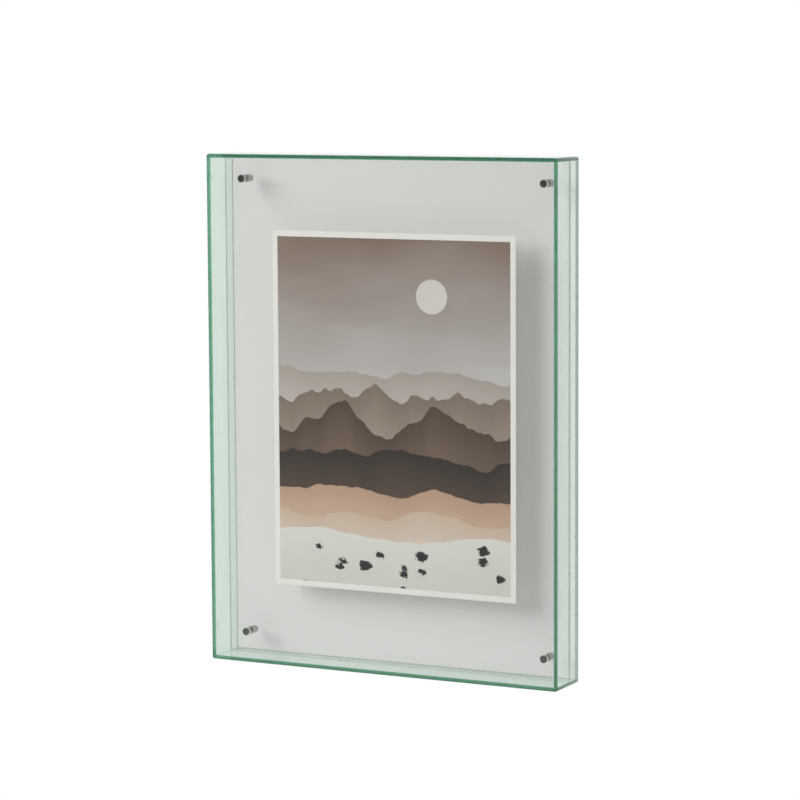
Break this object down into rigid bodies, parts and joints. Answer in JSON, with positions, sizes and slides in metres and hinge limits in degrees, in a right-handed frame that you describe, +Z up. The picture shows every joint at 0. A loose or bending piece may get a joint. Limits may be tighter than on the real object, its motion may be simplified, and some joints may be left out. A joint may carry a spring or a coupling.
{
  "type": "magnetic box picture frame",
  "caption": "Deep box frame of clear green-edged acrylic; a print floats between two clear sheets held by disc magnets on standoffs, and the bonded cover lifts off forwards.",
  "frame": {"origin": "middle of the footprint, on the surface that the frame stands on", "axes": "+X to the right seen from the front, +Y from the front to the back, +Z up"},
  "size_m": [0.3, 0.04, 0.4],
  "materials": {
    "clear_acrylic": "polished",
    "plated_magnet": "polished",
    "steel_standoff": "satin",
    "printed_paper": "satin"
  },
  "bodies": {
    "back": {"back_panel": "clear_acrylic", "standoff_bottom_left": "steel_standoff", "standoff_bottom_right": "steel_standoff", "standoff_top_left": "steel_standoff", "standoff_top_right": "steel_standoff"},
    "cover": {"front_panel": "clear_acrylic", "left_wall": "clear_acrylic", "right_wall": "clear_acrylic", "bottom_wall": "clear_acrylic", "top_wall": "clear_acrylic"},
    "magnet_bottom_left": {"magnet_bottom_left": "plated_magnet"},
    "magnet_bottom_right": {"magnet_bottom_right": "plated_magnet"},
    "magnet_top_left": {"magnet_top_left": "plated_magnet"},
    "magnet_top_right": {"magnet_top_right": "plated_magnet"},
    "front_sheet": {"front_sheet": "clear_acrylic"},
    "print": {"print": "printed_paper"},
    "rear_sheet": {"rear_sheet": "clear_acrylic"}
  },
  "joints": [
    {"name": "cover_lift", "type": "slide", "parent": "back", "child": "cover", "axis": [0, -1, 0], "range_m": [0, 0.15]},
    {"name": "magnet_bottom_left_lift", "type": "slide", "parent": "back", "child": "magnet_bottom_left", "axis": [0, -1, 0], "range_m": [0, 0.12]},
    {"name": "magnet_bottom_right_lift", "type": "slide", "parent": "back", "child": "magnet_bottom_right", "axis": [0, -1, 0], "range_m": [0, 0.12]},
    {"name": "magnet_top_left_lift", "type": "slide", "parent": "back", "child": "magnet_top_left", "axis": [0, -1, 0], "range_m": [0, 0.12]},
    {"name": "magnet_top_right_lift", "type": "slide", "parent": "back", "child": "magnet_top_right", "axis": [0, -1, 0], "range_m": [0, 0.12]},
    {"name": "front_sheet_lift", "type": "slide", "parent": "back", "child": "front_sheet", "axis": [0, -1, 0], "range_m": [0, 0.09]},
    {"name": "print_lift", "type": "slide", "parent": "back", "child": "print", "axis": [0, -1, 0], "range_m": [0, 0.06]},
    {"name": "rear_sheet_lift", "type": "slide", "parent": "back", "child": "rear_sheet", "axis": [0, -1, 0], "range_m": [0, 0.03]}
  ],
  "couplings": [
    {"joint": "magnet_bottom_left_lift", "follows": "cover_lift", "ratio": 0.8},
    {"joint": "magnet_bottom_right_lift", "follows": "cover_lift", "ratio": 0.8},
    {"joint": "magnet_top_left_lift", "follows": "cover_lift", "ratio": 0.8},
    {"joint": "magnet_top_right_lift", "follows": "cover_lift", "ratio": 0.8},
    {"joint": "front_sheet_lift", "follows": "cover_lift", "ratio": 0.6},
    {"joint": "print_lift", "follows": "cover_lift", "ratio": 0.4},
    {"joint": "rear_sheet_lift", "follows": "cover_lift", "ratio": 0.2}
  ]
}
